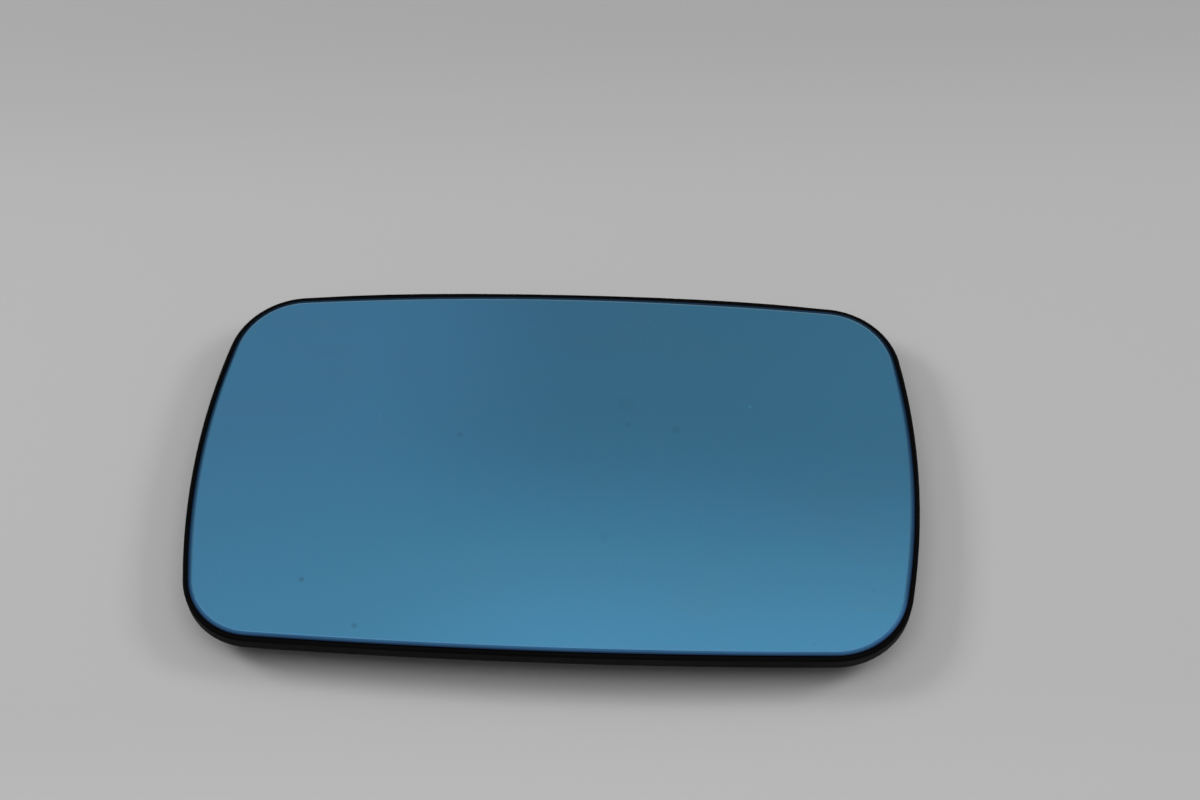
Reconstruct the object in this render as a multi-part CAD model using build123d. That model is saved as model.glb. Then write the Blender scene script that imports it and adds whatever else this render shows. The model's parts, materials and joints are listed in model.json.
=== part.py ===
from build123d import *
import os
from math import sqrt

# A left-hand car door mirror glass: a tinted convex mirror bonded into a moulded backing plate.
# It lies on its back, in millimetres. +Z points out of the mirror face, +X towards the car and
# +Y up the car. The origin is on the axis of the snap collar, at the mouth that it stands on.

# Outline of the glass: four bowed sides between four corner points, which are then rounded
LOWER_SPAN = 158.9  # between the two lower corner points
OUTBOARD_RISE = 89.7  # from the lower corner points to the upper outboard one
INBOARD_RISE = 91.5  # from the lower corner points to the upper inboard one
OUTBOARD_LEAN = 3.8  # how far the outboard side leans in towards its top
INBOARD_LEAN = 0.9
BOTTOM_BOW = 3.0
INBOARD_BOW = 6.0
TOP_BOW = 2.1
OUTBOARD_BOW = 5.8
LOWER_OUTBOARD_ROUND = 16.2
LOWER_INBOARD_ROUND = 18.2
UPPER_INBOARD_ROUND = 16.8
UPPER_OUTBOARD_ROUND = 17.2

# Glass
FACE_RADIUS = 1250.0  # of the convex mirror face
GLASS_THICKNESS = 2.0
BEVEL_WIDTH = 1.15  # of the ground front edge
BEVEL_DEPTH = 0.35

# Heating film that bonds the glass to the plate
FILM_THICKNESS = 0.7
FILM_INSET = 5.0  # from the edge of the glass
FILM_GAP = 0.3  # between the film and the wall of its recess

# Tray of the backing plate
FLOOR = 1.8
GLASS_GAP = 0.15  # between the edge of the glass and the rim
RIM_WALL = 1.05
RIM_DROP = 0.5  # from the mirror face down to the top of the rim
RIM_TOP_CHAMFER = 0.35
RIM_FOOT_CHAMFER = 0.6

# Snap collar, a ring of spring fingers that grips the round plate of the mirror motor
STAND_OFF = 10.5  # from the collar's mouth to the underside of the floor
COLLAR_RADIUS = 26.0  # inside, above the bead
COLLAR_WALL = 1.6  # at the mouth
COLLAR_TAPER = 0.6  # by which the wall thickens towards the floor
MOUTH_CHAMFER = 0.5
FINGERS = 12
SLOT_WIDTH = 2.4
KEY_SLOT_WIDTH = 6.0  # of the two slots on the level axis, which stop the glass from turning
SLOT_ROOT = 2.8  # height of the unbroken ring between the slots and the floor
BEAD_HEIGHT = 0.8  # how far the snap bead stands in from the wall
BEAD_LAND = 1.6
BEAD_LEAD_IN = 1.2
MOTOR_PLATE = 4.0  # thickness that is held between the bead and the seat
SEAT_RADIUS = 22.0
SEAT_WALL = 1.6

# Ribs under the floor
RIB_WALL = 1.3
RIB_DEPTH = 2.4
EDGE_RIB_INSET = 9.0  # from the edge of the glass

# Heater terminals, standard blade tabs in a window of the floor
TAB_WIDTH = 6.3
TAB_STOCK = 0.8
TAB_LENGTH = 8.0
TAB_BEND = 0.6  # inside radius
TAB_FOOT = 6.5
TAB_TIP_BEVEL = 0.25  # off each face of the blade
TAB_TIP_TAPER = 1.0  # length of that bevel
TAB_TIP_CORNER = 1.0
TAB_HOLE_DIAMETER = 1.8
TAB_HOLE_UP = 3.4  # from the tip
TAB_REACH = 46.0  # from the collar's axis
TAB_PITCH = 10.0
WINDOW_CLEARANCE = 1.5
WINDOW_ROUND = 1.2
RIVET_DIAMETER = 1.8
RIVET_CLEARANCE = 0.05
RIVET_HEAD_DIAMETER = 3.4
RIVET_HEAD_HEIGHT = 0.9
RIVET_HEAD_CHAMFER = 0.4

# Heights on the collar's axis
FILM_BACK = STAND_OFF + FLOOR
GLASS_BACK = FILM_BACK + FILM_THICKNESS
FACE_HEIGHT = GLASS_BACK + GLASS_THICKNESS
RIM_HEIGHT = FACE_HEIGHT - RIM_DROP
MID_FLOOR = STAND_OFF + FLOOR / 2
BEAD_TOP = BEAD_LEAD_IN + BEAD_LAND + BEAD_HEIGHT
CURVE_CENTRE = FACE_HEIGHT - FACE_RADIUS


def side_disc(start, end, bow, growth):
    """The disc whose edge runs along one bowed side of the outline, going round to the left."""
    chord = end - start
    radius = chord.length**2 / (8 * bow) + bow / 2
    inward = chord.rotate(Axis.Z, 90).normalized()
    centre = (start + end) / 2 + inward * (radius - bow)
    seam_turn = 45  # keeps the start of every circle away from the sides
    return Pos(centre) * Rot(0, 0, seam_turn) * Circle(radius + growth)


def plan_from_corner(growth):
    """The outline of the glass moved out by a growth, from the lower outboard corner point."""
    corners = [
        Vector(0, 0),
        Vector(LOWER_SPAN, 0),
        Vector(LOWER_SPAN - INBOARD_LEAN, INBOARD_RISE),
        Vector(OUTBOARD_LEAN, OUTBOARD_RISE),
    ]
    bows = [BOTTOM_BOW, INBOARD_BOW, TOP_BOW, OUTBOARD_BOW]
    rounds = [LOWER_OUTBOARD_ROUND, LOWER_INBOARD_ROUND, UPPER_INBOARD_ROUND, UPPER_OUTBOARD_ROUND]
    discs = []
    for start, end, bow in zip(corners, corners[1:] + corners[:1], bows):
        discs.append(side_disc(start, end, bow, growth))
    plan = discs[0] & discs[1] & discs[2] & discs[3]
    for corner, radius in zip(corners, rounds):
        plan = fillet(plan.vertices().sort_by_distance(corner)[0], radius + growth)
    return plan


def outline(growth):
    """The outline of the glass moved out by a growth, with the glass centred on the collar's axis."""
    middle = plan_from_corner(0).bounding_box().center()
    return Pos(-middle.X, -middle.Y) * plan_from_corner(growth)


def ball(height):
    """A ball concentric with the mirror face, whose top is at a height on the collar's axis."""
    return Pos(0, 0, CURVE_CENTRE) * Rot(0, 90, 0) * Sphere(height - CURVE_CENTRE)


def layer(plan, low, high):
    """A plan made solid between two heights, with both faces curved like the mirror face."""
    return extrude(plan, amount=FACE_HEIGHT) & (ball(high) - ball(low))


def curved_faces(solid):
    """The faces of a solid that are curved like the mirror face, from the back to the front."""
    return solid.faces().filter_by(GeomType.SPHERE).sort_by(Axis.Z)


def mirror_glass():
    blank = layer(outline(0), GLASS_BACK, FACE_HEIGHT)
    face = curved_faces(blank)[-1]
    return chamfer(face.edges(), BEVEL_WIDTH, BEVEL_DEPTH, reference=face)


def tray():
    """The curved floor and rim, with the pocket for the glass and the recess for the film."""
    block = layer(outline(GLASS_GAP + RIM_WALL), STAND_OFF, RIM_HEIGHT)
    block = chamfer(curved_faces(block)[0].edges(), RIM_FOOT_CHAMFER)
    block = chamfer(curved_faces(block)[-1].edges(), RIM_TOP_CHAMFER)
    pocket = layer(outline(GLASS_GAP), GLASS_BACK, FACE_HEIGHT)
    recess = layer(outline(FILM_GAP - FILM_INSET), FILM_BACK, FACE_HEIGHT)
    return block - pocket - recess


def snap_collar():
    """The ring of spring fingers, with the bead that snaps over the motor's plate."""
    outside = COLLAR_RADIUS + COLLAR_WALL
    bead = COLLAR_RADIUS - BEAD_HEIGHT
    section = Polyline(
        (outside + COLLAR_TAPER, 0, MID_FLOOR),
        (outside, 0, MOUTH_CHAMFER),
        (outside - MOUTH_CHAMFER, 0, 0),
        (COLLAR_RADIUS, 0, 0),
        (bead, 0, BEAD_LEAD_IN),
        (bead, 0, BEAD_LEAD_IN + BEAD_LAND),
        (COLLAR_RADIUS, 0, BEAD_TOP),
        (COLLAR_RADIUS, 0, MID_FLOOR),
        close=True,
    )
    ring = revolve(make_face(section), Axis.Z)
    turn = 360 / FINGERS
    for finger in range(FINGERS):
        on_level_axis = finger * turn % 180 == 0
        width = KEY_SLOT_WIDTH if on_level_axis else SLOT_WIDTH
        ring -= Rot(0, 0, finger * turn) * finger_slot(width)
    return ring


def finger_slot(width):
    """A slot through the collar on its +X side, open at the mouth and round at its root."""
    radius = width / 2
    round_centre = STAND_OFF - SLOT_ROOT - radius
    front = Circle(radius) + Rectangle(width, STAND_OFF, align=(Align.CENTER, Align.MAX))
    axis_plane = Plane(origin=(0, 0, round_centre), x_dir=(0, 1, 0), z_dir=(1, 0, 0))
    return extrude(axis_plane * front, amount=COLLAR_RADIUS + 2 * COLLAR_WALL + COLLAR_TAPER)


def seat_ring():
    """The low ring inside the collar that the motor's plate lands on."""
    plan = Circle(SEAT_RADIUS) - Circle(SEAT_RADIUS - SEAT_WALL)
    bottom = BEAD_TOP + MOTOR_PLATE
    return Pos(0, 0, bottom) * extrude(plan, amount=MID_FLOOR - bottom)


def window_plan(growth):
    """The terminal window in the floor, moved out by a growth."""
    length = TAB_FOOT + 2 * (WINDOW_CLEARANCE + growth)
    width = TAB_PITCH + TAB_WIDTH + 2 * (WINDOW_CLEARANCE + growth)
    middle = -TAB_REACH - TAB_FOOT / 2
    return Pos(middle, 0) * RectangleRounded(length, width, WINDOW_ROUND + growth)


def rib_plan():
    """A spoke under each finger, a rib along the edge and a frame round the terminal window."""
    edge = outline(-EDGE_RIB_INSET)
    plan = edge - outline(-EDGE_RIB_INSET - RIB_WALL)
    spoke = Rectangle(LOWER_SPAN, RIB_WALL, align=(Align.MIN, Align.CENTER))
    turn = 360 / FINGERS
    for finger in range(FINGERS):
        plan += (Rot(0, 0, (finger + 0.5) * turn) * spoke) & edge
    plan += window_plan(RIB_WALL)
    plan -= window_plan(0)
    return plan - Circle(COLLAR_RADIUS + COLLAR_WALL / 2)


def backing_plate():
    plate = tray()
    plate += layer(rib_plan(), STAND_OFF - RIB_DEPTH, MID_FLOOR)
    plate += snap_collar()
    plate += seat_ring()
    return plate - extrude(window_plan(0), amount=FACE_HEIGHT)


def tab_seats():
    """A plane for each terminal on the film's back: upper, then lower, with +X outboard."""
    centre = Vector(0, 0, CURVE_CENTRE)
    radius = FILM_BACK - CURVE_CENTRE
    seats = []
    for side in (1, -1):
        x = -TAB_REACH
        y = side * TAB_PITCH / 2
        origin = Vector(x, y, CURVE_CENTRE + sqrt(radius**2 - x**2 - y**2))
        normal = (origin - centre).normalized()
        across = normal.cross(Vector(1, 0, 0))
        seats.append(Plane(origin=origin, x_dir=across.cross(normal) * -1, z_dir=normal))
    return seats


def rivet_place():
    """Where the rivet goes through the foot of a terminal, from the back of its blade."""
    return (TAB_STOCK + TAB_BEND + TAB_FOOT) / 2


def rivet_hole():
    radius = RIVET_DIAMETER / 2 + RIVET_CLEARANCE
    return Pos(rivet_place(), 0, 0) * Cylinder(radius, 2 * (TAB_STOCK + FILM_THICKNESS))


def heater_film(seats):
    film = layer(outline(-FILM_INSET), FILM_BACK, GLASS_BACK)
    for seat in seats:
        film -= seat.location * rivet_hole()
    return film


def heater_terminal(seat):
    """A blade bent from strip, with its foot against the back of the film."""
    spare = TAB_STOCK / 2  # stands above the foot until the film's curve trims it
    outer_bend = (0, 0, spare)
    inner_bend = (TAB_STOCK, 0, -TAB_STOCK)
    section = make_face(
        Polyline(
            outer_bend,
            (TAB_FOOT, 0, spare),
            (TAB_FOOT, 0, -TAB_STOCK),
            inner_bend,
            (TAB_STOCK, 0, TAB_TIP_TAPER - TAB_LENGTH),
            (TAB_STOCK - TAB_TIP_BEVEL, 0, -TAB_LENGTH),
            (TAB_TIP_BEVEL, 0, -TAB_LENGTH),
            (0, 0, TAB_TIP_TAPER - TAB_LENGTH),
            close=True,
        )
    )
    section = fillet(section.vertices().sort_by_distance(outer_bend)[0], TAB_BEND + TAB_STOCK)
    section = fillet(section.vertices().sort_by_distance(inner_bend)[0], TAB_BEND)
    strip = extrude(section, amount=TAB_WIDTH / 2, both=True)
    tip = strip.faces().sort_by(Axis.Z)[0]
    strip = chamfer(tip.edges().filter_by(Axis.X), TAB_TIP_CORNER)
    detent = Rot(0, 90, 0) * Cylinder(TAB_HOLE_DIAMETER / 2, TAB_FOOT)
    strip -= Pos(0, 0, TAB_HOLE_UP - TAB_LENGTH) * detent
    strip -= rivet_hole()
    return (seat.location * strip) & ball(FILM_BACK)


def terminal_rivet(seat):
    """A rivet through a terminal and the film, headed under the terminal's foot."""
    upwards = (Align.CENTER, Align.CENTER, Align.MIN)
    downwards = (Align.CENTER, Align.CENTER, Align.MAX)
    shank = Cylinder(RIVET_DIAMETER / 2, TAB_STOCK + 2 * FILM_THICKNESS, align=upwards)
    head = Cylinder(RIVET_HEAD_DIAMETER / 2, RIVET_HEAD_HEIGHT, align=downwards)
    head = chamfer(head.edges().sort_by(Axis.Z)[0], RIVET_HEAD_CHAMFER)
    rivet = Pos(rivet_place(), 0, -TAB_STOCK) * (head + shank)
    return (seat.location * rivet) & ball(GLASS_BACK)


def main():
    seats = tab_seats()
    nodes = {
        "mirror_glass": mirror_glass(),
        "heater_film": heater_film(seats),
        "backing_plate": backing_plate(),
        "heater_terminal_upper": heater_terminal(seats[0]),
        "heater_terminal_lower": heater_terminal(seats[1]),
        "terminal_rivets": Compound([terminal_rivet(seat).solid() for seat in seats]),
    }
    os.makedirs("parts", exist_ok=True)
    for name, shape in nodes.items():
        export_step(shape, f"parts/{name}.step")


main()
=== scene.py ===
import json
from math import cos, radians, sin, tan

import bpy
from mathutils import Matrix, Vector
from mathutils.geometry import intersect_sphere_sphere_2d

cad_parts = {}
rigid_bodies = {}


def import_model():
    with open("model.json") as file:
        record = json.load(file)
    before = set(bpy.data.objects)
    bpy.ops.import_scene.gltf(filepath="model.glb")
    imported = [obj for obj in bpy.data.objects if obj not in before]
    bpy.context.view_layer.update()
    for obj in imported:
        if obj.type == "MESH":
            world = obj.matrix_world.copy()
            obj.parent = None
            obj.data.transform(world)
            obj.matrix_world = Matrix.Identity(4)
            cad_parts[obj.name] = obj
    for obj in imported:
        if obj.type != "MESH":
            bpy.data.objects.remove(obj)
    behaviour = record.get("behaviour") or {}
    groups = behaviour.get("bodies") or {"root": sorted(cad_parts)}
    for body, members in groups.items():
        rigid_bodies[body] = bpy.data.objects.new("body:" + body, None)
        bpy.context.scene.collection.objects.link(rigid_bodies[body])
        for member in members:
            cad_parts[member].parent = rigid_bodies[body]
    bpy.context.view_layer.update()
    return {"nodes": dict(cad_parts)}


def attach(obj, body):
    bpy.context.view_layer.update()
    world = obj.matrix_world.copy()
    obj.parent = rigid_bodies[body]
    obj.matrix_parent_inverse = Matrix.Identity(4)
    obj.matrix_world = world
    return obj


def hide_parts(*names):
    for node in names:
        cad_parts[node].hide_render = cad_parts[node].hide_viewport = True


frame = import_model()

# A car door mirror glass, in metres. It lies on its back with +Z out of the mirror face, +X towards
# the car and +Y up the car. The origin is on the axis of the snap collar, at the mouth it stands on.

# Outline of the glass: four bowed sides between corner points, as the solid has it
LOWER_SPAN = 0.1589
OUTBOARD_RISE = 0.0897
INBOARD_RISE = 0.0915
OUTBOARD_LEAN = 0.0038
INBOARD_LEAN = 0.0009
BOTTOM_BOW = 0.0030
INBOARD_BOW = 0.0060
TOP_BOW = 0.0021
OUTBOARD_BOW = 0.0058
LOWER_OUTBOARD_ROUND = 0.0162
LOWER_INBOARD_ROUND = 0.0182
UPPER_INBOARD_ROUND = 0.0168
UPPER_OUTBOARD_ROUND = 0.0172

# Glass
FACE_HEIGHT = 0.0150  # of the middle of the mirror face
FACE_RADIUS = 1.25
CURVE_CENTRE = Vector((0, 0, FACE_HEIGHT - FACE_RADIUS))  # of the ball that the mirror face is part of
GLASS_THICKNESS = 0.0020
BEVEL_WIDTH = 0.00115
BEVEL_DEPTH = 0.00035
BEVEL_START = 0.16  # slope of the ground edge where it leaves the face
LIP_LIMITS = (0.96, 0.99)  # upward part of the normals in the first row of the ground edge, its lip
# painted highlights along the lip's top and bottom set in this far up or down the car
LIP_HIGHLIGHT_TURNS = (0.026, 0.044)  # how far up or down the car the lip's colour changes, round the corners
TINT_SLANT = (1, -1, 0)  # the way across the mirror face that its tint shifts
TINT_PLACES = (-0.09, 0.01)  # where along that way the shift starts and ends

# Backing plate and heating film
PLATE_BACK = 0.0044  # how far the plate's back lies below the mirror face, where it leaves the rim
RIM_FOOT = 0.0004  # height over which the rim's wall turns into the plate's back
TRACK_PITCH = 0.0030
TRACK_EDGES = (0.55, 0.65)  # heights of a wave between which the film turns into a printed track
WAVE_LENGTH = 0.3142  # of the wave texture at a scale of 1

# Mesh of the pane
LONG_SIDE_STEPS = 56
SHORT_SIDE_STEPS = 28
CORNER_STEPS = 16
BEVEL_ROWS = 4
BORDER_WIDTHS = (0.0012, 0.0020, 0.0030)  # rows of faces between the bevel and the middle of the pane
MOULD_REACH = 0.105  # radius of the bending mould
MOULD_RINGS = 84
MOULD_SPOKES = 256
WELD = 0.00001

# How far faces may turn at an edge that is still shown round
PANE_SMOOTHING = radians(8)
SOLID_SMOOTHING = radians(24)
RIVET_SMOOTHING = radians(50)

# Camera, from the photo's viewing angle
SENSOR_WIDTH = 36
NEAREST_SEEN = 0.01
FIELD_OF_VIEW = radians(32)
CAMERA_AZIMUTH = radians(2.17)
CAMERA_ELEVATION = radians(57.98)
CAMERA_DISTANCE = 0.4989
AIM = Vector((0.00981, 0.01764, 0.015))

# Effects that several finishes share
SPECK_REACH = (0.04, 0.16)  # radius of the smallest and largest speck, as a share of their spacing
SPECK_CORE = 0.4  # share of a speck's radius where it is solid
SMEAR_FADE = 0.3  # span of cloud brightness over which a smear sets in
WIPE_TURN = radians(24)
WIPE_STRETCH = (1, 9, 1)
WIPE_EDGES = (0.35, 0.75)  # cloud brightness between which a wiped streak sets in
TONE_GRAINS = 40.0  # width of a patch of one tone, in grains

# Colours of the finishes, as linear red, green and blue. A pair is the two ends of a grain's tones.
FACE_OUTBOARD = (0.099, 0.468, 0.860, 1)
FACE_INBOARD = (0.097, 0.494, 0.860, 1)
FACE_SMEAR = (0.95, 0.965, 0.95, 1)
FACE_DUST = (0.20, 0.36, 0.48, 1)
FACE_DUST_SHARE = 0.12
EDGE_BLUES = ((0.062, 0.215, 0.440, 1), (0.084, 0.280, 0.560, 1))
# painted shade on the outer part of the ground edge
EDGE_OUTER_SHADE = (0.028, 0.055, 0.140, 1)
LIP_SIDES = (0.070, 0.220, 0.380, 1)
# painted highlights along the top and bottom of the lip
LIP_TOP_HIGHLIGHT = (0.240, 0.480, 0.660, 1)
LIP_BOTTOM_HIGHLIGHT = (0.115, 0.370, 0.660, 1)
# painted shade: the rim's blacks are darker than the back's, though it is one plastic
RIM_SHADED_BLACKS = ((0.0022, 0.0022, 0.0024, 1), (0.0034, 0.0034, 0.0036, 1))
BACK_BLACKS = ((0.012, 0.012, 0.0125, 1), (0.018, 0.018, 0.0185, 1))
PLATE_DUST = (0.03, 0.03, 0.029, 1)
PLATE_DUST_SHARE = 0.35
FILM_AMBERS = ((0.34, 0.25, 0.10, 1), (0.28, 0.20, 0.075, 1))
TRACK_GREY = (0.10, 0.10, 0.105, 1)
TIN_CLEAN = (0.67, 0.66, 0.62, 1)
TIN_DULLED = (0.58, 0.57, 0.53, 1)
TIN_DRAWN = (0.64, 0.63, 0.60, 1)
BRASS_BRIGHT = (0.74, 0.58, 0.29, 1)
BRASS_BROWNED = (0.46, 0.32, 0.14, 1)

# Specks on the mirror face: place across and up the pane, radius, and brightness against the glass
FACE_SPECKS = (
    (0.0456, 0.0176, 0.0005, 1.45),
    (-0.0562, -0.0319, 0.0008, 0.74),
    (-0.0430, -0.0431, 0.0009, 0.78),
    (-0.0424, 0.0117, 0.0004, 1.20),
    (-0.0229, 0.0068, 0.0010, 0.86),
    (0.0166, 0.0112, 0.0010, 0.90),
    (0.0281, 0.0103, 0.0013, 0.87),
    (0.0123, -0.0190, 0.0014, 0.93),
    (0.0158, 0.0168, 0.0028, 0.95),
    (0.0739, -0.0293, 0.0006, 0.90),
    (0.0600, -0.0435, 0.0005, 0.88),
)

# Table, with painted shade: its tone by how far away it is, lighter near and darker far off
TABLE_SIZE = 40
TABLE_SHADE_SLANT = (-0.08, 1, 0)  # the way across the table that it darkens
TABLE_REACH = 0.3  # how far the tones reach from the part either way
TABLE_PAINTED_SHADING = ((-0.08, 0.67), (-0.05, 0.64), (0.08, 0.64), (0.16, 0.565))

# Brightness of the room, seen from the part: on the ceiling by how far away it is for each metre of
# height, away from the camera being positive, and by how far across. It is bright overhead, dark
# further off and a little lighter again low on the walls.
MAIN_CEILING = ((-2.8, 0.20), (-1.3, 0.05), (0.26, 0.57), (0.66, 0.275), (2.1, 0.03), (2.8, 0.14))
LEFT_CEILING = ((-2.8, 0.20), (-1.3, 0.05), (0.20, 0.47), (0.70, 0.335), (2.1, 0.03), (2.8, 0.14))
LEFT_SHARE = ((-0.26, 1.0), (-0.02, 0.0))
SIDE_DIMMING = ((-2.4, 0.3), (-0.6, 0.95), (0.10, 0.95), (0.35, 1.0), (2.4, 0.8))
ROOM_REACH = 3.0  # how far the brightnesses reach either way
LEFT_REACH = 1.0  # how far the left ceiling's share reaches either way
LOWEST_RISE = 0.05  # upward part of a direction below which the walls stay the same

# Lamps: name, place, width and depth, and power in watts
LAMPS = (
    ("overhead_light", (0, -0.10, 0.45), (0.32, 0.22), 0.388),
    ("left_light", (-0.55, 0.12, 0.52), (0.22, 0.22), 1.450),
    ("right_light", (0.55, 0.12, 0.52), (0.22, 0.22), 1.092),
)


def side_circle(start, end, bow):
    """Centre and radius of the circle that one bowed side of the outline lies on."""
    chord = end - start
    radius = chord.length**2 / (8 * bow) + bow / 2
    inward = Vector((-chord.y, chord.x)).normalized()
    return (start + end) / 2 + inward * (radius - bow), radius


def outline_arcs():
    """The outline's arcs in order, going round to the left: start, centre and number of steps."""
    corners = [
        Vector((0, 0)),
        Vector((LOWER_SPAN, 0)),
        Vector((LOWER_SPAN - INBOARD_LEAN, INBOARD_RISE)),
        Vector((OUTBOARD_LEAN, OUTBOARD_RISE)),
    ]
    bows = [BOTTOM_BOW, INBOARD_BOW, TOP_BOW, OUTBOARD_BOW]
    rounds = [LOWER_OUTBOARD_ROUND, LOWER_INBOARD_ROUND, UPPER_INBOARD_ROUND, UPPER_OUTBOARD_ROUND]
    steps = [LONG_SIDE_STEPS, SHORT_SIDE_STEPS, LONG_SIDE_STEPS, SHORT_SIDE_STEPS]
    sides = []
    for index, bow in enumerate(bows):
        sides.append(side_circle(corners[index], corners[(index + 1) % len(corners)], bow))
    (bottom, bottom_radius), (inboard, inboard_radius) = sides[:2]
    (top, top_radius), (outboard, outboard_radius) = sides[2:]
    middle = Vector((
        (outboard.x - outboard_radius + inboard.x + inboard_radius) / 2,
        (bottom.y - bottom_radius + top.y + top_radius) / 2,
    ))
    arcs = []
    for index, corner in enumerate(corners):
        centre, radius = sides[index]
        before, before_radius = sides[index - 1]
        crossings = intersect_sphere_sphere_2d(
            before, before_radius - rounds[index], centre, radius - rounds[index]
        )
        round_centre = min(crossings, key=lambda crossing: (crossing - corner).length)
        round_start = before + (round_centre - before).normalized() * before_radius
        side_start = centre + (round_centre - centre).normalized() * radius
        arcs.append((round_start - middle, round_centre - middle, CORNER_STEPS))
        arcs.append((side_start - middle, centre - middle, steps[index]))
    return arcs


def pick(piece):
    """Makes a piece the only one that is selected, and the active one."""
    bpy.ops.object.select_all(action="DESELECT")
    bpy.context.view_layer.objects.active = piece
    piece.select_set(True)


def single_vertex(name, place):
    """A new piece that is one vertex, open for editing and selected."""
    bpy.ops.object.select_all(action="DESELECT")
    bpy.ops.mesh.primitive_plane_add()
    piece = bpy.context.object
    piece.name = name
    piece.data.name = name
    bpy.ops.object.mode_set(mode="EDIT")
    bpy.ops.mesh.merge(type="CENTER")
    bpy.ops.transform.translate(value=place)
    return piece


def bending_mould():
    """The convex mould that a hot flat sheet of glass sags onto, as a cap of the mirror face's ball."""
    mould = single_vertex("bending_mould", (0, 0, FACE_HEIGHT))
    cap_turn = MOULD_REACH / FACE_RADIUS
    bpy.ops.mesh.spin(steps=MOULD_RINGS, angle=cap_turn, center=CURVE_CENTRE, axis=(0, 1, 0))
    bpy.ops.mesh.select_all(action="SELECT")
    bpy.ops.mesh.spin(steps=MOULD_SPOKES, angle=radians(360), center=(0, 0, 0), axis=(0, 0, 1))
    bpy.ops.mesh.select_all(action="SELECT")
    bpy.ops.mesh.remove_doubles(threshold=WELD)
    bpy.ops.object.mode_set(mode="OBJECT")
    return mould


def flat_sheet():
    """The flat sheet of glass cut to its outline, in rows of faces along its edge and a grid within."""
    arcs = outline_arcs()
    sheet = single_vertex("mirror_pane", arcs[0][0].to_3d() + Vector((0, 0, FACE_HEIGHT)))
    for index, (start, centre, steps) in enumerate(arcs):
        end = arcs[(index + 1) % len(arcs)][0]
        turn = (start - centre).angle(end - centre)
        pivot = (centre.x, centre.y, FACE_HEIGHT)
        bpy.ops.mesh.spin(steps=steps, angle=-turn, center=pivot, axis=(0, 0, 1))
    bpy.ops.mesh.select_all(action="SELECT")
    bpy.ops.mesh.remove_doubles(threshold=WELD)
    bpy.ops.mesh.edge_face_add()
    for width in (*[BEVEL_WIDTH / BEVEL_ROWS] * BEVEL_ROWS, *BORDER_WIDTHS):
        bpy.ops.mesh.inset(thickness=width, use_even_offset=True)
    bpy.ops.mesh.fill_grid(span=LONG_SIDE_STEPS + CORNER_STEPS)
    bpy.ops.mesh.select_mode(type="FACE")
    bpy.ops.mesh.select_face_by_sides(number=4, type="GREATER", extend=False)
    bpy.ops.mesh.delete(type="ONLY_FACE")
    bpy.ops.object.mode_set(mode="OBJECT")
    return sheet


def bevel_drop(row):
    """How far the ground edge has dropped below the face after a number of its rows."""
    share = row / BEVEL_ROWS
    start = BEVEL_START * BEVEL_WIDTH
    return start * share + (BEVEL_DEPTH - start) * share**2


def mirror_pane():
    """The glass: a sheet sagged onto the mould, given its thickness and a front edge ground round."""
    mould = bending_mould()
    pane = flat_sheet()
    sag = pane.modifiers.new("sag", "SHRINKWRAP")
    sag.target = mould
    sag.wrap_method = "PROJECT"
    sag.use_project_z = True
    sag.use_negative_direction = True
    bpy.ops.object.modifier_apply(modifier=sag.name)
    bpy.data.objects.remove(mould)
    bpy.ops.object.mode_set(mode="EDIT")
    bpy.ops.mesh.select_mode(type="EDGE")
    bpy.ops.mesh.select_all(action="SELECT")
    bpy.ops.mesh.duplicate()
    bpy.ops.transform.translate(value=(0, 0, -GLASS_THICKNESS))
    bpy.ops.mesh.select_all(action="INVERT")
    bpy.ops.mesh.region_to_loop()
    bpy.ops.mesh.select_mode(type="VERT")
    for row in range(BEVEL_ROWS, 0, -1):
        bpy.ops.transform.translate(value=(0, 0, bevel_drop(row - 1) - bevel_drop(row)))
        bpy.ops.mesh.select_more()
    bpy.ops.mesh.select_mode(type="EDGE")
    bpy.ops.mesh.select_non_manifold(
        extend=False, use_wire=False, use_multi_face=False, use_non_contiguous=False, use_verts=False
    )
    bpy.ops.mesh.bridge_edge_loops()
    bpy.ops.mesh.select_all(action="SELECT")
    bpy.ops.mesh.normals_make_consistent(inside=False)
    bpy.ops.object.mode_set(mode="OBJECT")
    bpy.ops.object.shade_smooth_by_angle(angle=PANE_SMOOTHING)
    return pane


def smooth_copy(node, name, smoothing=SOLID_SMOOTHING):
    """A copy of a solid with its facets welded, shown round where they turn no further than given."""
    piece = bpy.data.objects.new(name, frame["nodes"][node].data.copy())
    piece.data.name = name
    bpy.context.collection.objects.link(piece)
    pick(piece)
    bpy.ops.object.mode_set(mode="EDIT")
    bpy.ops.mesh.select_all(action="SELECT")
    bpy.ops.mesh.remove_doubles(threshold=WELD)
    bpy.ops.object.mode_set(mode="OBJECT")
    bpy.ops.mesh.customdata_custom_splitnormals_clear()
    bpy.ops.object.shade_smooth_by_angle(angle=smoothing)
    return piece


def place_camera():
    """The camera that sees the part as the photo does."""
    back = Vector((
        sin(CAMERA_AZIMUTH) * cos(CAMERA_ELEVATION),
        -cos(CAMERA_AZIMUTH) * cos(CAMERA_ELEVATION),
        sin(CAMERA_ELEVATION),
    ))
    lens = bpy.data.cameras.new("camera")
    lens.sensor_width = SENSOR_WIDTH
    lens.lens = SENSOR_WIDTH / 2 / tan(FIELD_OF_VIEW / 2)
    lens.clip_start = NEAREST_SEEN
    camera = bpy.data.objects.new("camera", lens)
    camera.location = AIM + back * CAMERA_DISTANCE
    camera.rotation_euler = (-back).to_track_quat("-Z", "Y").to_euler()
    bpy.context.collection.objects.link(camera)
    bpy.context.scene.camera = camera


def add_node(tree, kind, **settings):
    """A new node of a kind, with its settings."""
    made = tree.nodes.new("ShaderNode" + kind)
    for name, value in settings.items():
        setattr(made, name, value)
    return made


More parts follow.
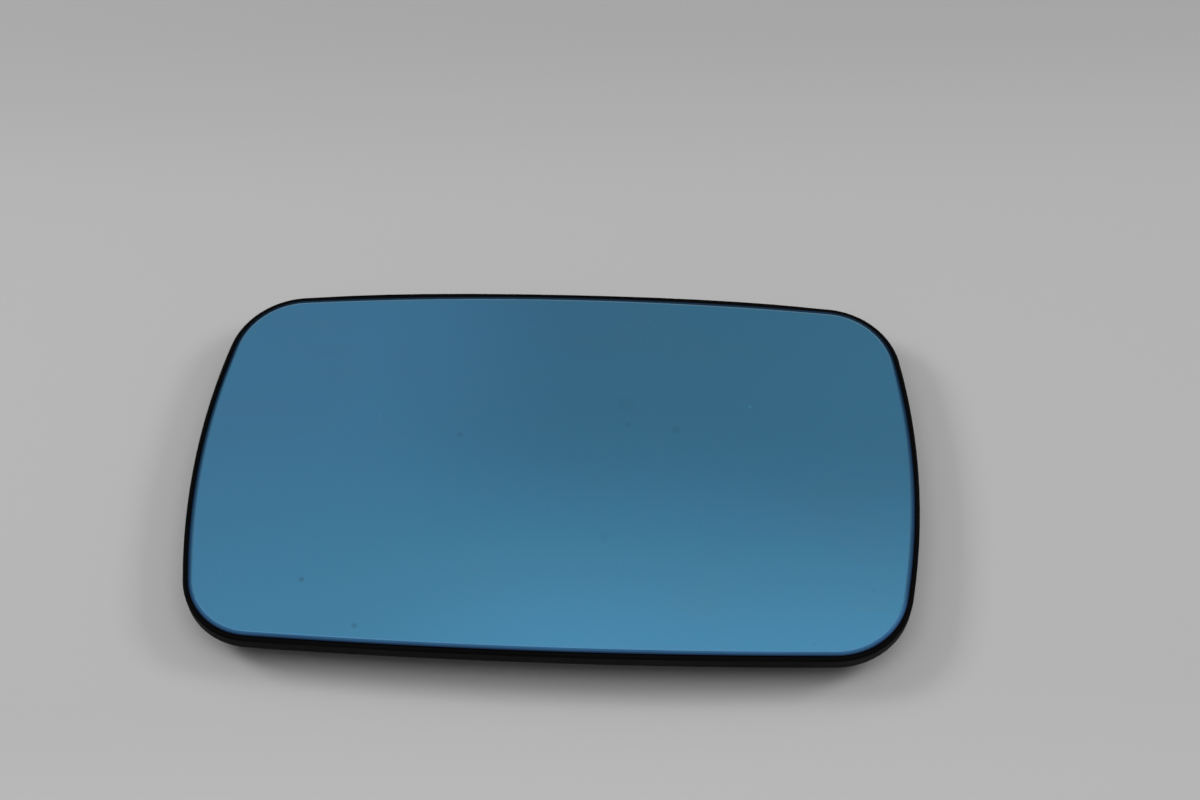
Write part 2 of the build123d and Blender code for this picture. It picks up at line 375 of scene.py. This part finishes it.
def feed(tree, socket, value):
    """Sets a socket to a number or colour, or links it to another socket."""
    if isinstance(value, (int, float, tuple)):
        socket.default_value = value
    else:
        tree.links.new(value, socket)


def combine(tree, operation, first, second):
    """The result of a sum on two sockets, or on a socket and a number."""
    made = add_node(tree, "Math", operation=operation)
    feed(tree, made.inputs[0], first)
    feed(tree, made.inputs[1], second)
    return made.outputs["Value"]


def blend(tree, share, first, second, kind="MIX"):
    """A mix of two colours by a share."""
    made = add_node(tree, "Mix", data_type="RGBA", blend_type=kind)
    sockets = {socket.identifier: socket for socket in made.inputs}
    feed(tree, sockets["Factor_Float"], share)
    feed(tree, sockets["A_Color"], first)
    feed(tree, sockets["B_Color"], second)
    return next(socket for socket in made.outputs if socket.identifier == "Result_Color")


def spread(tree, value, low, high, result_low, result_high):
    """A value stretched smoothly from one range to another, and held at its ends."""
    made = add_node(tree, "MapRange", interpolation_type="SMOOTHSTEP")
    for index, given in enumerate((value, low, high, result_low, result_high)):
        feed(tree, made.inputs[index], given)
    return made.outputs["Result"]


def grey_ramp(tree, value, steps, reach):
    """Greys that ease into each other within a reach either way. Each step is a value and its grey."""
    low, high = -reach, reach
    scale = add_node(tree, "MapRange")
    feed(tree, scale.inputs["Value"], value)
    feed(tree, scale.inputs["From Min"], low)
    feed(tree, scale.inputs["From Max"], high)
    ramp = add_node(tree, "ValToRGB")
    feed(tree, ramp.inputs["Fac"], scale.outputs["Result"])
    ramp.color_ramp.interpolation = "EASE"
    stops = ramp.color_ramp.elements
    stops.remove(stops[1])
    for index, (step, level) in enumerate(steps):
        position = (step - low) / (high - low)
        stop = stops[0] if index == 0 else stops.new(position)
        stop.position = position
        stop.color = (level, level, level, 1)
    return ramp.outputs["Color"]


def piece_place(tree):
    """Places on the piece itself, in metres."""
    return add_node(tree, "TexCoord").outputs["Object"]


def along(tree, direction):
    """How far along a direction a place on the piece is, in metres."""
    made = add_node(tree, "VectorMath", operation="DOT_PRODUCT")
    feed(tree, made.inputs[0], piece_place(tree))
    made.inputs[1].default_value = direction
    return made.outputs["Value"]


def from_curve_centre(tree):
    """How far a place on the piece is from the middle of the ball that the mirror face is part of."""
    made = add_node(tree, "VectorMath", operation="DISTANCE")
    feed(tree, made.inputs[0], piece_place(tree))
    made.inputs[1].default_value = CURVE_CENTRE
    return made.outputs["Value"]


def noise(tree, place, scale, detail, distortion=0.0):
    """Cloudy noise from 0 to 1 over the piece."""
    made = add_node(tree, "TexNoise")
    feed(tree, made.inputs["Vector"], place)
    feed(tree, made.inputs["Scale"], scale)
    feed(tree, made.inputs["Detail"], detail)
    feed(tree, made.inputs["Distortion"], distortion)
    return made.outputs["Fac"]


def effect_group(name, given, results):
    """A node group for an effect that several finishes share: named numbers in, values out."""
    group = bpy.data.node_groups.new(name, "ShaderNodeTree")
    for label, value in given.items():
        socket = group.interface.new_socket(label, in_out="INPUT", socket_type="NodeSocketFloat")
        socket.default_value = value
    for label in results:
        group.interface.new_socket(label, in_out="OUTPUT", socket_type="NodeSocketFloat")
    return group, group.nodes.new("NodeGroupInput").outputs, group.nodes.new("NodeGroupOutput").inputs


def loose_dust():
    """Sparse round specks. Spacing is in metres, and Cover is the share of places that hold one."""
    group, given, result = effect_group("loose_dust", {"Spacing": 0.004, "Cover": 0.1}, ["Specks"])
    cells = add_node(group, "TexVoronoi")
    feed(group, cells.inputs["Vector"], piece_place(group))
    feed(group, cells.inputs["Scale"], combine(group, "DIVIDE", 1.0, given["Spacing"]))
    chance = add_node(group, "SeparateColor")
    feed(group, chance.inputs["Color"], cells.outputs["Color"])
    chosen = combine(group, "LESS_THAN", chance.outputs["Red"], given["Cover"])
    reach = spread(group, chance.outputs["Green"], 0.0, 1.0, *SPECK_REACH)
    core = combine(group, "MULTIPLY", reach, SPECK_CORE)
    speck = spread(group, cells.outputs["Distance"], core, reach, 1.0, 0.0)
    feed(group, result["Specks"], combine(group, "MULTIPLY", chosen, speck))
    return group


def handling_haze():
    """Soft smears left by hands and cloths. Size is in metres, and a higher Clear leaves fewer."""
    group, given, result = effect_group(
        "handling_haze", {"Size": 0.03, "Clear": 0.45}, ["Smear", "Streak"]
    )
    place = piece_place(group)
    scale = combine(group, "DIVIDE", 1.0, given["Size"])
    clouds = noise(group, place, scale, 3.0, 0.9)
    full = combine(group, "ADD", given["Clear"], SMEAR_FADE)
    feed(group, result["Smear"], spread(group, clouds, given["Clear"], full, 0.0, 1.0))
    stretch = add_node(group, "Mapping")
    stretch.inputs["Rotation"].default_value = (0, 0, WIPE_TURN)
    stretch.inputs["Scale"].default_value = WIPE_STRETCH
    feed(group, stretch.inputs["Vector"], place)
    wiped = noise(group, stretch.outputs["Vector"], scale, 4.0)
    feed(group, result["Streak"], spread(group, wiped, *WIPE_EDGES, 0.0, 1.0))
    return group


def moulded_grain():
    """The fine texture of a tool's surface. Size is the width of a grain in metres."""
    group, given, result = effect_group("moulded_grain", {"Size": 0.0004}, ["Height", "Tone"])
    place = piece_place(group)
    fine = combine(group, "DIVIDE", 1.0, given["Size"])
    feed(group, result["Height"], noise(group, place, fine, 2.0))
    coarse = combine(group, "DIVIDE", fine, TONE_GRAINS)
    feed(group, result["Tone"], noise(group, place, coarse, 3.0))
    return group


def place_effect(tree, group, **values):
    """A shared effect in a finish, with the finish's own numbers."""
    made = add_node(tree, "Group", node_tree=group)
    for name, value in values.items():
        made.inputs[name].default_value = value
    return made.outputs


def new_finish(name, **settings):
    """A new material with the settings that are the same all over it."""
    material = bpy.data.materials.new(name)
    material.use_nodes = True
    shader = material.node_tree.nodes["Principled BSDF"]
    for label, value in settings.items():
        shader.inputs[label.replace("_", " ")].default_value = value
    return material, material.node_tree, shader.inputs


def vary_roughness(tree, sockets, share, start, end):
    """Roughness of a finish, from one value to another as a share goes from 0 to 1."""
    feed(tree, sockets["Roughness"], spread(tree, share, 0.0, 1.0, start, end))


def raise_surface(tree, sockets, height, depth, strength):
    """Bump on a finish, with its depth in metres."""
    bump = add_node(tree, "Bump")
    feed(tree, bump.inputs["Height"], height)
    feed(tree, bump.inputs["Distance"], depth)
    feed(tree, bump.inputs["Strength"], strength)
    feed(tree, sockets["Normal"], bump.outputs["Normal"])


def speck_on_face(tree, place, across, up, radius):
    """The mask of one speck at its place on the mirror face."""
    flat = add_node(tree, "VectorMath", operation="MULTIPLY")
    feed(tree, flat.inputs[0], place)
    flat.inputs[1].default_value = (1, 1, 0)
    away = add_node(tree, "VectorMath", operation="DISTANCE")
    feed(tree, away.inputs[0], flat.outputs["Vector"])
    away.inputs[1].default_value = (across, up, 0)
    return spread(tree, away.outputs["Value"], radius * SPECK_CORE, radius, 1.0, 0.0)


def blue_mirror():
    """Silvered blue glass under a clear front surface, faintly smeared, with a few specks of dust."""
    material, tree, sockets = new_finish(
        "blue_mirror", Metallic=1.0, Coat_Weight=1.0, Coat_Roughness=0.015, Coat_IOR=1.5
    )
    place = piece_place(tree)
    haze = place_effect(tree, HAZE, Size=0.045, Clear=0.46)
    dust = place_effect(tree, DUST, Spacing=0.006, Cover=0.035)
    smear = combine(tree, "MULTIPLY", haze["Smear"], haze["Streak"])
    inboard = spread(tree, along(tree, TINT_SLANT), *TINT_PLACES, 0.0, 1.0)
    colour = blend(tree, inboard, FACE_OUTBOARD, FACE_INBOARD)
    colour = blend(tree, smear, colour, FACE_SMEAR, "MULTIPLY")
    dusted = combine(tree, "MULTIPLY", dust["Specks"], FACE_DUST_SHARE)
    colour = blend(tree, dusted, colour, FACE_DUST)
    for across, up, radius, brightness in FACE_SPECKS:
        speck = speck_on_face(tree, place, across, up, radius)
        colour = blend(tree, speck, colour, (brightness, brightness, brightness, 1), "MULTIPLY")
    feed(tree, sockets["Base Color"], colour)
    vary_roughness(tree, sockets, smear, 0.012, 0.015)
    return material


def ground_edge():
    """The ground and seamed edge of the glass, duller than its face, with painted shade darkening it
    towards its wall.
    """
    material, tree, sockets = new_finish("ground_edge", Metallic=1.0)
    grain = place_effect(tree, GRAIN, Size=0.00025)
    haze = place_effect(tree, HAZE, Size=0.02, Clear=0.42)
    colour = blend(tree, grain["Tone"], *EDGE_BLUES)
    # painted shade: the bevel's colour darkens towards the rim as it drops from the face
    drop = combine(tree, "SUBTRACT", FACE_RADIUS, from_curve_centre(tree))
    painted_shade_share = spread(tree, drop, BEVEL_DEPTH / 3, BEVEL_DEPTH, 0.0, 1.0)
    feed(tree, sockets["Base Color"], blend(tree, painted_shade_share, colour, EDGE_OUTER_SHADE))
    vary_roughness(tree, sockets, haze["Smear"], 0.17, 0.27)
    raise_surface(tree, sockets, grain["Height"], depth=0.00002, strength=0.4)
    return material


def edge_lip():
    """The narrow lip where the ground edge meets the face, with painted highlights along the top and
    bottom.
    """
    material, tree, sockets = new_finish("edge_lip", Metallic=0.5)
    haze = place_effect(tree, HAZE, Size=0.02, Clear=0.42)
    # painted highlights: the lip is paler along its top and bottom than at its sides
    top = spread(tree, along(tree, (0, 1, 0)), *LIP_HIGHLIGHT_TURNS, 0.0, 1.0)
    bottom = spread(tree, along(tree, (0, -1, 0)), *LIP_HIGHLIGHT_TURNS, 0.0, 1.0)
    colour = blend(tree, top, LIP_SIDES, LIP_TOP_HIGHLIGHT)
    feed(tree, sockets["Base Color"], blend(tree, bottom, colour, LIP_BOTTOM_HIGHLIGHT))
    vary_roughness(tree, sockets, haze["Smear"], 0.20, 0.30)
    return material


def moulded_black():
    """Black moulded plastic with a fine grain, shinier where it is handled, and with painted shade its rim
    is darker than its greyer back.
    """
    material, tree, sockets = new_finish("moulded_black", Specular_IOR_Level=0.05)
    grain = place_effect(tree, GRAIN, Size=0.00035)
    haze = place_effect(tree, HAZE, Size=0.025, Clear=0.44)
    dust = place_effect(tree, DUST, Spacing=0.003, Cover=0.05)
    back_ends = FACE_RADIUS - PLATE_BACK
    back = spread(tree, from_curve_centre(tree), back_ends, back_ends + RIM_FOOT, 1.0, 0.0)
    # painted shade: the rim, seen from above, is darker than the same plastic on the back
    shaded_rim_colour = blend(tree, grain["Tone"], *RIM_SHADED_BLACKS)
    back_colour = blend(tree, grain["Tone"], *BACK_BLACKS)
    colour = blend(tree, back, shaded_rim_colour, back_colour)
    dusted = combine(tree, "MULTIPLY", dust["Specks"], PLATE_DUST_SHARE)
    feed(tree, sockets["Base Color"], blend(tree, dusted, colour, PLATE_DUST))
    vary_roughness(tree, sockets, haze["Smear"], 0.62, 0.48)
    raise_surface(tree, sockets, grain["Height"], depth=0.00004, strength=0.5)
    return material


def heating_foil():
    """Amber plastic film with grey printed heating tracks running along it."""
    material, tree, sockets = new_finish("heating_foil", Specular_IOR_Level=0.4)
    grain = place_effect(tree, GRAIN, Size=0.0005)
    haze = place_effect(tree, HAZE, Size=0.012, Clear=0.44)
    tracks = add_node(tree, "TexWave", bands_direction="Y")
    feed(tree, tracks.inputs["Vector"], piece_place(tree))
    tracks.inputs["Scale"].default_value = WAVE_LENGTH / TRACK_PITCH
    track = spread(tree, tracks.outputs["Fac"], *TRACK_EDGES, 0.0, 1.0)
    amber = blend(tree, grain["Tone"], *FILM_AMBERS)
    feed(tree, sockets["Base Color"], blend(tree, track, amber, TRACK_GREY))
    vary_roughness(tree, sockets, haze["Smear"], 0.38, 0.52)
    raise_surface(tree, sockets, track, depth=0.00003, strength=0.6)
    return material


def tinned_brass():
    """Tinned brass strip, drawn along its length and slightly dulled."""
    material, tree, sockets = new_finish("tinned_brass", Metallic=1.0)
    grain = place_effect(tree, GRAIN, Size=0.0003)
    haze = place_effect(tree, HAZE, Size=0.004, Clear=0.42)
    colour = blend(tree, haze["Smear"], TIN_CLEAN, TIN_DULLED)
    feed(tree, sockets["Base Color"], blend(tree, haze["Streak"], colour, TIN_DRAWN))
    vary_roughness(tree, sockets, haze["Streak"], 0.40, 0.50)
    raise_surface(tree, sockets, grain["Height"], depth=0.00001, strength=0.3)
    return material


def bright_brass():
    """Brass rivets, bright and browned in patches."""
    material, tree, sockets = new_finish("bright_brass", Metallic=1.0)
    grain = place_effect(tree, GRAIN, Size=0.0002)
    haze = place_effect(tree, HAZE, Size=0.0015, Clear=0.44)
    feed(tree, sockets["Base Color"], blend(tree, haze["Smear"], BRASS_BRIGHT, BRASS_BROWNED))
    vary_roughness(tree, sockets, haze["Smear"], 0.20, 0.40)
    raise_surface(tree, sockets, grain["Height"], depth=0.00001, strength=0.3)
    return material


def pale_table():
    """A plain pale table top, with painted shade making it a little lighter near and darker towards its
    far side.
    """
    material, tree, sockets = new_finish("pale_table", Specular_IOR_Level=0.2, Roughness=0.65)
    # painted shade: the table's grey falls off with distance in place of the light falling off
    painted_shading = grey_ramp(tree, along(tree, TABLE_SHADE_SLANT), TABLE_PAINTED_SHADING, TABLE_REACH)
    feed(tree, sockets["Base Color"], painted_shading)
    return material


def table_top():
    """The table that the part lies on, large enough to reach past every view."""
    bpy.ops.object.select_all(action="DESELECT")
    bpy.ops.mesh.primitive_plane_add(size=TABLE_SIZE)
    table = bpy.context.object
    table.name = "table_top"
    table.data.materials.append(pale_table())


def soft_light(name, place, size, power):
    """A soft panel of light, turned towards the part, that doesn't show in the mirror."""
    panel = bpy.data.lights.new(name, "AREA")
    panel.shape = "RECTANGLE"
    panel.size, panel.size_y = size
    panel.energy = power
    lamp = bpy.data.objects.new(name, panel)
    lamp.location = place
    lamp.rotation_euler = (-Vector(place)).to_track_quat("-Z", "Y").to_euler()
    lamp.visible_glossy = False
    bpy.context.collection.objects.link(lamp)


def room():
    """A soft room: a ceiling that is bright overhead, with tones of its own at the left, and dim walls."""
    world = bpy.data.worlds.new("room")
    bpy.context.scene.world = world
    world.use_nodes = True
    tree = world.node_tree
    direction = add_node(tree, "SeparateXYZ")
    feed(tree, direction.inputs["Vector"], add_node(tree, "TexCoord").outputs["Generated"])
    rise = combine(tree, "MAXIMUM", direction.outputs["Z"], LOWEST_RISE)
    across = combine(tree, "DIVIDE", direction.outputs["X"], rise)
    away = combine(tree, "DIVIDE", direction.outputs["Y"], rise)
    main_ceiling = grey_ramp(tree, away, MAIN_CEILING, ROOM_REACH)
    left_ceiling = grey_ramp(tree, away, LEFT_CEILING, ROOM_REACH)
    left_share = grey_ramp(tree, across, LEFT_SHARE, LEFT_REACH)
    side_dimming = grey_ramp(tree, across, SIDE_DIMMING, ROOM_REACH)
    ceiling = blend(tree, left_share, main_ceiling, left_ceiling)
    lit = blend(tree, 1.0, ceiling, side_dimming, "MULTIPLY")
    feed(tree, tree.nodes["Background"].inputs["Color"], lit)


def give_edge_its_finishes(pane):
    """Puts the second finish on the bevel and wall of the glass, and the third on the bevel's lip."""
    pick(pane)
    lip_low, lip_high = LIP_LIMITS
    for index, low, high in ((1, 0.0, lip_low), (2, lip_low, lip_high)):
        bpy.ops.object.mode_set(mode="EDIT")
        bpy.ops.mesh.select_mode(type="FACE")
        bpy.ops.mesh.select_all(action="DESELECT")
        bpy.ops.object.mode_set(mode="OBJECT")
        for face in pane.data.polygons:
            face.select = low <= abs(face.normal.z) < high
        bpy.ops.object.mode_set(mode="EDIT")
        pane.active_material_index = index
        bpy.ops.object.material_slot_assign()
        bpy.ops.object.mode_set(mode="OBJECT")


def dress(piece, finishes, node):
    """Gives a piece its finishes, hides the solid that it stands for and hangs the piece on the root body.
    """
    piece.data.materials.clear()
    for finish in finishes:
        piece.data.materials.append(finish)
    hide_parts(node)
    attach(piece, "root")


DUST = loose_dust()
HAZE = handling_haze()
GRAIN = moulded_grain()

pane = mirror_pane()
dress(pane, [blue_mirror(), ground_edge(), edge_lip()], "mirror_glass")
give_edge_its_finishes(pane)
plate = smooth_copy("backing_plate", "moulded_plate")
dress(plate, [moulded_black()], "backing_plate")
film = smooth_copy("heater_film", "heating_film")
dress(film, [heating_foil()], "heater_film")
tinned = tinned_brass()
upper_blade = smooth_copy("heater_terminal_upper", "upper_blade")
dress(upper_blade, [tinned], "heater_terminal_upper")
lower_blade = smooth_copy("heater_terminal_lower", "lower_blade")
dress(lower_blade, [tinned], "heater_terminal_lower")
rivets = smooth_copy("terminal_rivets", "blade_rivets", RIVET_SMOOTHING)
dress(rivets, [bright_brass()], "terminal_rivets")

table_top()
room()
for lamp in LAMPS:
    soft_light(*lamp)
place_camera()
bpy.context.scene.view_settings.view_transform = "Standard"
